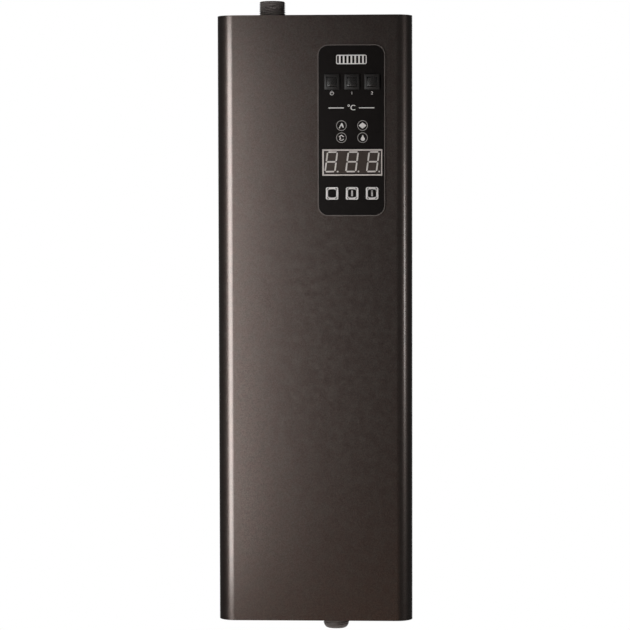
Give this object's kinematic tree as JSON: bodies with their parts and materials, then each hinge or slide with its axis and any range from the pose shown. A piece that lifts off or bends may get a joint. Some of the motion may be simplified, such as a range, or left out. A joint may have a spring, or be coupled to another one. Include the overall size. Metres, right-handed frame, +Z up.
{
  "type": "electric boiler",
  "caption": "Wall-hung electric boiler: tall narrow casing, black control fascia with rockers, display and buttons, threaded water stubs above and below.",
  "frame": {"origin": "centre of the back plate's rear face, on the wall at mid-height", "axes": "+X to the right of someone facing the boiler, +Y into the wall, +Z up"},
  "size_m": [0.193, 0.1348, 0.6369],
  "materials": {
    "bronze_paint": "fine-texture paint, warm bronze brown, satin",
    "zinc_sheet": "zinc-coated sheet and screws",
    "black_fascia": "satin black film on sheet",
    "black_plastic": "moulded, softly glossy",
    "white_plastic": "moulded, satin",
    "smoked_filter": "dark filter with pale segments",
    "circuit_board": "solder mask",
    "tank_steel": "rolled and welded steel",
    "stub_steel": "dark threaded steel",
    "brass": "machined",
    "copper": "copper tube and strip",
    "rubber": "moulded, matt",
    "ivory_plastic": "moulded, satin",
    "relay_blue": "moulded, satin",
    "lead_sheath": "insulated wire",
    "lamp_lens": "diffusing lens"
  },
  "bodies": {
    "casing": {"back_plate": "zinc_sheet", "board_carrier": "black_plastic", "bottom_plate": "bronze_paint", "cable_grommet_1": "rubber", "cable_grommet_2": "rubber", "cover_screw_1": "zinc_sheet", "cover_screw_2": "zinc_sheet", "cover_screw_3": "zinc_sheet", "cover_screw_4": "zinc_sheet", "display_board": "circuit_board", "display_face": "smoked_filter", "display_module": "white_plastic", "earth_stud": "brass", "element_lead_1": "lead_sheath", "element_lead_2": "lead_sheath", "element_lead_3": "lead_sheath", "fascia_panel": "black_fascia", "front_cover": "bronze_paint", "heater_plug": "brass", "heating_element_1": "copper", "heating_element_2": "copper", "heating_element_3": "copper", "indicator_lamp_1": "lamp_lens", "indicator_lamp_2": "lamp_lens", "indicator_lamp_3": "lamp_lens", "indicator_lamp_4": "lamp_lens", "inlet_elbow": "tank_steel", "inlet_locknut": "brass", "inlet_stub": "stub_steel", "outlet_locknut": "brass", "outlet_stub": "stub_steel", "overheat_thermostat": "black_plastic", "plug_gasket": "rubber", "power_board": "circuit_board", "relay_1": "relay_blue", "relay_2": "relay_blue", "relay_3": "relay_blue", "ribbon_cable": "ivory_plastic", "rocker_housing_1": "black_plastic", "rocker_housing_2": "black_plastic", "rocker_housing_3": "black_plastic", "sensor_pocket": "brass", "star_bridge": "copper", "supply_module": "ivory_plastic", "tact_switch_1": "white_plastic", "tact_switch_2": "white_plastic", "tact_switch_3": "white_plastic", "tank_bottom_cap": "tank_steel", "tank_bracket_lower": "zinc_sheet", "tank_bracket_upper": "zinc_sheet", "tank_shell": "tank_steel", "tank_top_cap": "tank_steel", "terminal_block": "ivory_plastic", "top_plate": "bronze_paint"},
    "rocker_1_body": {"rocker_1": "black_plastic"},
    "rocker_2_body": {"rocker_2": "black_plastic"},
    "rocker_3_body": {"rocker_3": "black_plastic"},
    "button_1_body": {"button_cap_1": "black_plastic"},
    "button_2_body": {"button_cap_2": "black_plastic"},
    "button_3_body": {"button_cap_3": "black_plastic"}
  },
  "joints": [
    {"name": "rocker_1_tilt", "type": "hinge", "parent": "casing", "child": "rocker_1_body", "pos_m": [0.0174, -0.1317, 0.234], "axis": [1, 0, 0], "range_deg": [0, 24]},
    {"name": "rocker_2_tilt", "type": "hinge", "parent": "casing", "child": "rocker_2_body", "pos_m": [0.0371, -0.1317, 0.234], "axis": [1, 0, 0], "range_deg": [0, 24]},
    {"name": "rocker_3_tilt", "type": "hinge", "parent": "casing", "child": "rocker_3_body", "pos_m": [0.0568, -0.1317, 0.234], "axis": [1, 0, 0], "range_deg": [0, 24]},
    {"name": "button_1_press", "type": "slide", "parent": "casing", "child": "button_1_body", "axis": [0, 1, 0], "range_m": [0, 0.0004], "stiffness_N_per_m": 3000},
    {"name": "button_2_press", "type": "slide", "parent": "casing", "child": "button_2_body", "axis": [0, 1, 0], "range_m": [0, 0.0004], "stiffness_N_per_m": 3000},
    {"name": "button_3_press", "type": "slide", "parent": "casing", "child": "button_3_body", "axis": [0, 1, 0], "range_m": [0, 0.0004], "stiffness_N_per_m": 3000}
  ]
}
